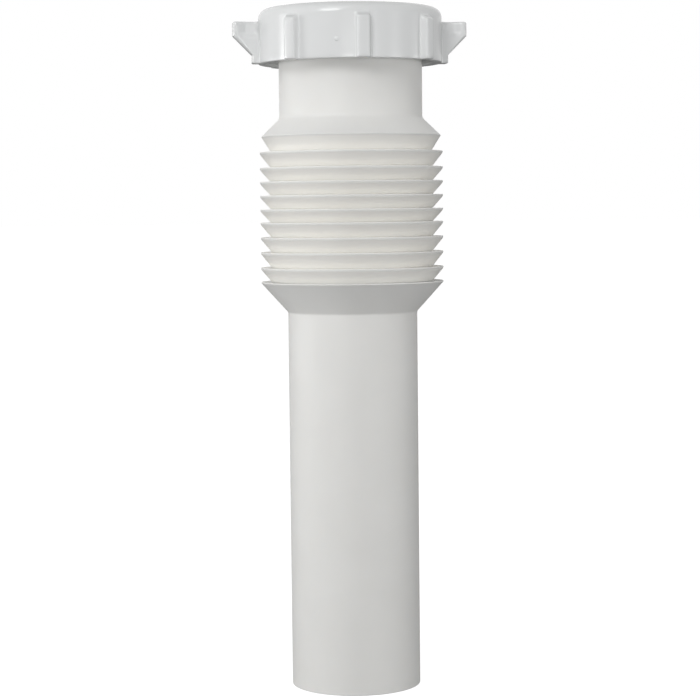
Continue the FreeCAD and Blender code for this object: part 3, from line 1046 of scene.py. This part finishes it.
@dataclass
class GateMark(Piece):
    """The small round scar on the nut's side where the plastic ran into its mould."""

    azimuth: float = -15.9
    height: float = 188.7
    seat: float = 26.9
    radius: float = 0.75
    stand: float = 0.14
    sunk: float = 0.05
    dome: tuple[Point, ...] = ((0.45, 0.95), (0.8, 0.55))
    steps: int = 32
    sharp_angle: float = 60.0

    def build(self) -> None:
        """Build the mark as a low dome, whose rings are given in shares of its radius and stand."""
        section = [(0.0, self.stand)]
        section += [(across, self.stand * up) for across, up in self.dome]
        section.append((1.0, -self.sunk))
        points = [(0.0, 0.0, section[0][1])]
        for across, up in section[1:]:
            reach = across * self.radius
            for turn in np.linspace(0.0, FULL_TURN, self.steps, endpoint=False):
                points.append((reach * math.cos(turn), reach * math.sin(turn), up))
        faces = [(0, 1 + i, 1 + (i + 1) % self.steps) for i in range(self.steps)]
        for ring in range(len(section) - 2):
            low, high = 1 + ring * self.steps, 1 + (ring + 1) * self.steps
            faces += [(low + i, high + i, high + (i + 1) % self.steps, low + (i + 1) % self.steps)
                      for i in range(self.steps)]
        faces.append(tuple(range(len(points) - 1, len(points) - 1 - self.steps, -1)))
        spin = Matrix.Rotation(math.radians(self.azimuth), 4, "Z")
        place = spin @ Matrix.Translation((0.0, -self.seat * MM, self.height * MM))
        place = place @ Matrix.Rotation(math.pi / 2.0, 4, "X") @ Matrix.Scale(MM, 4)
        made = mesh_object("nut_gate_mark", points, [], faces)
        made.data.transform(place)
        smooth(made, self.sharp_angle)
        self.dress(made, Body.NUT, Slot.NUT)


@dataclass(frozen=True)
class SoftBox:
    """A square studio lamp that faces the tube."""

    name: str
    azimuth: float
    elevation: float
    power: float
    distance: float = 1.0
    size: float = 0.28

    def build(self, target: Vector) -> None:
        """Hang the lamp.

        Args:
            target: The point that it faces.
        """
        turn, rise = math.radians(self.azimuth), math.radians(self.elevation)
        away = Vector((math.sin(turn) * math.cos(rise), -math.cos(turn) * math.cos(rise), math.sin(rise)))
        place = target + away * self.distance
        lamp = bpy.data.lights.new(self.name, "AREA")
        lamp.size = self.size
        lamp.energy = self.power
        made = bpy.data.objects.new(self.name, lamp)
        made.location = place
        made.rotation_euler = (target - place).to_track_quat("-Z", "Y").to_euler()
        bpy.context.scene.collection.objects.link(made)


@dataclass
class Studio:
    """A plain pale floor, soft light and the camera."""

    floor_size: float = 40.0
    floor_tone: float = 0.37
    floor_glow: float = 0.95
    ambient: float = 0.245
    azimuth: float = -7.8
    distance: float = 0.62
    eye_height: float = 0.141
    aside: float = 0.087
    pitch: float = 3.841
    roll: float = -0.6
    focal_pixels: float = 2100.0
    image_pixels: float = 700.0
    sensor_mm: float = 36.0
    nearest: float = 0.01
    farthest: float = 100.0
    lamp_target: float = 0.12
    lamps: tuple[SoftBox, ...] = (
        SoftBox("left_lamp", -95.0, 0.4, 3.1, size=0.25),
        SoftBox("back_lamp", -122.0, -4.0, 1.15, size=0.3),
        SoftBox("near_lamp", -8.0, -1.5, 1.85),
        SoftBox("front_lamp", 20.0, -1.5, 0.7),
        SoftBox("right_lamp", 50.0, -1.5, 1.05),
        SoftBox("side_lamp", 85.0, -1.5, 1.5),
        SoftBox("key_lamp", -33.0, 28.0, 3.15, size=0.35),
        SoftBox("high_lamp", -25.0, 50.0, 1.0, size=0.4),
    )

    def floor(self) -> None:
        """Lay the floor, which the camera sees as white with the part's shadow on it."""
        half = self.floor_size / 2.0
        corners = [(-half, -half, 0.0), (half, -half, 0.0), (half, half, 0.0), (-half, half, 0.0)]
        made = mesh_object("floor", corners, [], [(0, 1, 2, 3)])
        paper = bpy.data.materials.new("floor_paper")
        paper.use_nodes = True
        paper.node_tree.nodes.clear()
        tree = ShaderTree(paper.node_tree)
        path = tree.node("ShaderNodeLightPath")
        matt = tree.node("ShaderNodeBsdfDiffuse", Color=(self.floor_tone,) * 3 + (1.0,))
        glow = tree.node("ShaderNodeEmission", Color=(1.0, 1.0, 1.0, 1.0), Strength=self.floor_glow)
        bright = tree.node("ShaderNodeAddShader")
        mix = tree.node("ShaderNodeMixShader", Fac=path.outputs["Is Camera Ray"])
        for socket, shade in zip((*bright.inputs, *mix.inputs[1:]), (matt, glow, matt, bright)):
            tree.feed(socket, shade.outputs[0])
        tree.node("ShaderNodeOutputMaterial", Surface=mix.outputs[0])
        made.data.materials.append(paper)

    def world(self) -> None:
        """Set the surroundings: white to the eye and in reflections, dimmer as light."""
        room = bpy.data.worlds.new("studio_room")
        room.use_nodes = True
        room.node_tree.nodes.clear()
        tree = ShaderTree(room.node_tree)
        path = tree.node("ShaderNodeLightPath")
        seen = path.outputs["Is Camera Ray"]
        for name in ("Is Glossy Ray", "Is Transmission Ray"):
            seen = tree.math("MAXIMUM", seen, path.outputs[name]).outputs[0]
        level = tree.node("ShaderNodeMapRange", Value=seen, To_Min=self.ambient, To_Max=1.0)
        glow = tree.node("ShaderNodeBackground", Color=(1.0, 1.0, 1.0, 1.0), Strength=level.outputs["Result"])
        tree.node("ShaderNodeOutputWorld", Surface=glow.outputs[0])
        bpy.context.scene.world = room

    def camera(self) -> None:
        """Stand the camera where the photograph was taken from."""
        lens = bpy.data.cameras.new("photo_camera")
        lens.sensor_width = self.sensor_mm
        lens.lens = lens.sensor_width * self.focal_pixels / self.image_pixels
        lens.clip_start = self.nearest
        lens.clip_end = self.farthest
        made = bpy.data.objects.new("photo_camera", lens)
        turn = math.radians(self.azimuth)
        across, back = math.sin(turn) * self.distance, -math.cos(turn) * self.distance
        place = Matrix.Translation((across, back, self.eye_height))
        tilt = Matrix.Rotation(math.pi / 2.0 - math.radians(self.pitch), 4, "X")
        facing = Matrix.Rotation(turn + math.radians(self.aside), 4, "Z")
        made.matrix_world = place @ facing @ tilt @ Matrix.Rotation(math.radians(self.roll), 4, "Z")
        bpy.context.scene.collection.objects.link(made)
        bpy.context.scene.camera = made

    def build(self) -> None:
        """Build the whole studio."""
        bpy.context.scene.view_settings.view_transform = "Standard"
        self.floor()
        self.world()
        for lamp in self.lamps:
            lamp.build(Vector((0.0, 0.0, self.lamp_target)))
        self.camera()
        LOG.info("studio: %d lamps", len(self.lamps))


# The tube's bellows carry a painted glow of light through their folds, with painted shade at the tips.
TUBE_FINISH = Plastic("tube_white", (0.80, 0.797, 0.777), (0.775, 0.772, 0.752), roughness=0.5, specular=0.3,
                      subsurface=0.15, painted_glow=PaintedGlowTone((0.92, 0.905, 0.865)))
NUT_FINISH = Plastic("nut_white", (0.73, 0.74, 0.74), (0.715, 0.725, 0.725), roughness=0.2)
WASHER_FINISH = Plastic("washer_natural", (0.62, 0.63, 0.60), (0.60, 0.61, 0.58), roughness=0.55)


def main() -> None:
    """Build every piece in order, then the studio."""
    logging.basicConfig(level=logging.INFO, format="%(name)s: %(message)s")
    skin = moulded_skin()
    tube_white = TUBE_FINISH.material(skin)
    nut_white = NUT_FINISH.material(skin)
    washer_natural = WASHER_FINISH.material(skin)
    turned, wound = revolve_tree(), helix_tree()
    FlexibleTube(tube_white, turned).build()
    SealWasher(washer_natural, turned).build()
    SlipNut(nut_white).build()
    GateMark(nut_white).build()
    Thread(tube_white, wound, "neck_thread", Side.OUTWARD, Body.TUBE, Slot.TUBE,
           root_radius=22.7, start=186.4, end=193.2).build()
    Thread(nut_white, wound, "nut_thread", Side.INWARD, Body.NUT, Slot.NUT,
           root_radius=24.2, start=185.296, end=194.4).build()
    Studio().build()


if __name__ == "__main__":
    main()
